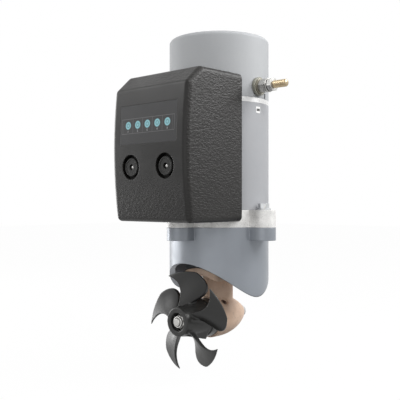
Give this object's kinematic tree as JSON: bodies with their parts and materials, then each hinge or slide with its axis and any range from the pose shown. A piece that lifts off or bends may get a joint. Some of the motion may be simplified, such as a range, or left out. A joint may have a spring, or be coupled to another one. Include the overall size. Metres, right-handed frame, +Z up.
{
  "type": "bow thruster",
  "caption": "Electric tunnel bow thruster: upright round motor with a front control box on a saddle bracket, bronze gear leg and bladed propeller below.",
  "frame": {"origin": "crossing of the tunnel (propeller) axis and the motor axis", "axes": "+Z up along the motor axis, Y along the tunnel with the propeller and control box towards -Y, +X towards the power terminal"},
  "size_m": [0.1684, 0.1842, 0.3556],
  "materials": {
    "casing_paint": "satin grey paint",
    "cap_paint": "satin light grey paint",
    "bracket_paint": "satin blue-grey paint",
    "cast_aluminium": "rough cast",
    "band_aluminium": "machined",
    "zinc_steel": "zinc plated",
    "stainless": "bright",
    "spring_steel": "satin",
    "bearing_steel": "ground",
    "core_iron": "laminated",
    "magnet": "matt ferrite",
    "copper": "bare copper",
    "brass": "bare brass",
    "bronze": "satin bare bronze",
    "carbon": "sintered carbon",
    "rubber": "matt",
    "gasket": "matt",
    "insulator": "moulded",
    "zinc": "cast zinc",
    "prop_plastic": "satin moulded",
    "box_plastic": "textured moulded",
    "screw_plastic": "moulded",
    "panel_film": "satin film",
    "board": "lacquered board"
  },
  "bodies": {
    "housing": {"base_screws": "zinc_steel", "bearing_carrier": "bronze", "board_screws": "zinc_steel", "brush_holders": "brass", "brush_plate": "band_aluminium", "brush_springs": "spring_steel", "busbar_nuts": "zinc_steel", "busbars": "copper", "carbon_brushes": "carbon", "circuit_board": "board", "contactor": "box_plastic", "control_base": "zinc_steel", "control_cover": "box_plastic", "cover_screws": "screw_plastic", "display_panel": "panel_film", "drive_end_flange": "cast_aluminium", "end_cap": "cap_paint", "field_magnets": "magnet", "flange_bolts": "zinc_steel", "flange_washers": "zinc_steel", "front_bearing_outer_race": "bearing_steel", "gear_leg": "bronze", "leg_bearing_outer_race": "bearing_steel", "leg_bolts": "stainless", "leg_gasket": "gasket", "lower_bearing_outer_race": "bearing_steel", "lower_bracket": "bracket_paint", "motor_casing": "casing_paint", "oil_plug": "stainless", "rear_bearing_outer_race": "bearing_steel", "shaft_bush": "brass", "shaft_seals": "rubber", "tail_anode": "zinc", "terminal_insulator": "insulator", "terminal_nut": "stainless", "terminal_spring_washer": "spring_steel", "terminal_stud": "brass", "terminal_washer": "brass", "through_bolts": "zinc_steel", "upper_bearing_outer_race": "bearing_steel"},
    "rotor": {"armature_shaft": "bearing_steel", "armature_core": "core_iron", "armature_windings": "copper", "commutator": "copper", "coupling_leg_hub": "cast_aluminium", "coupling_motor_hub": "cast_aluminium", "coupling_spider": "rubber", "drive_shaft": "bearing_steel", "drive_pinion": "bearing_steel", "lower_bearing_inner_race": "bearing_steel", "upper_bearing_inner_race": "bearing_steel", "leg_bearing_inner_race": "bearing_steel"},
    "propeller": {"propeller": "prop_plastic", "prop_shaft": "stainless", "crown_gear": "bearing_steel", "drive_pin": "stainless", "prop_washer": "stainless", "prop_nut": "stainless", "front_bearing_inner_race": "bearing_steel", "rear_bearing_inner_race": "bearing_steel"}
  },
  "joints": [
    {"name": "rotor_spin", "type": "hinge", "parent": "housing", "child": "rotor", "pos_m": [0, 0, 0.17], "axis": [0, 0, 1], "continuous": true},
    {"name": "propeller_spin", "type": "hinge", "parent": "housing", "child": "propeller", "pos_m": [0, 0, 0], "axis": [0, 1, 0], "continuous": true}
  ],
  "couplings": [
    {"joint": "propeller_spin", "follows": "rotor_spin", "ratio": -0.66667}
  ]
}
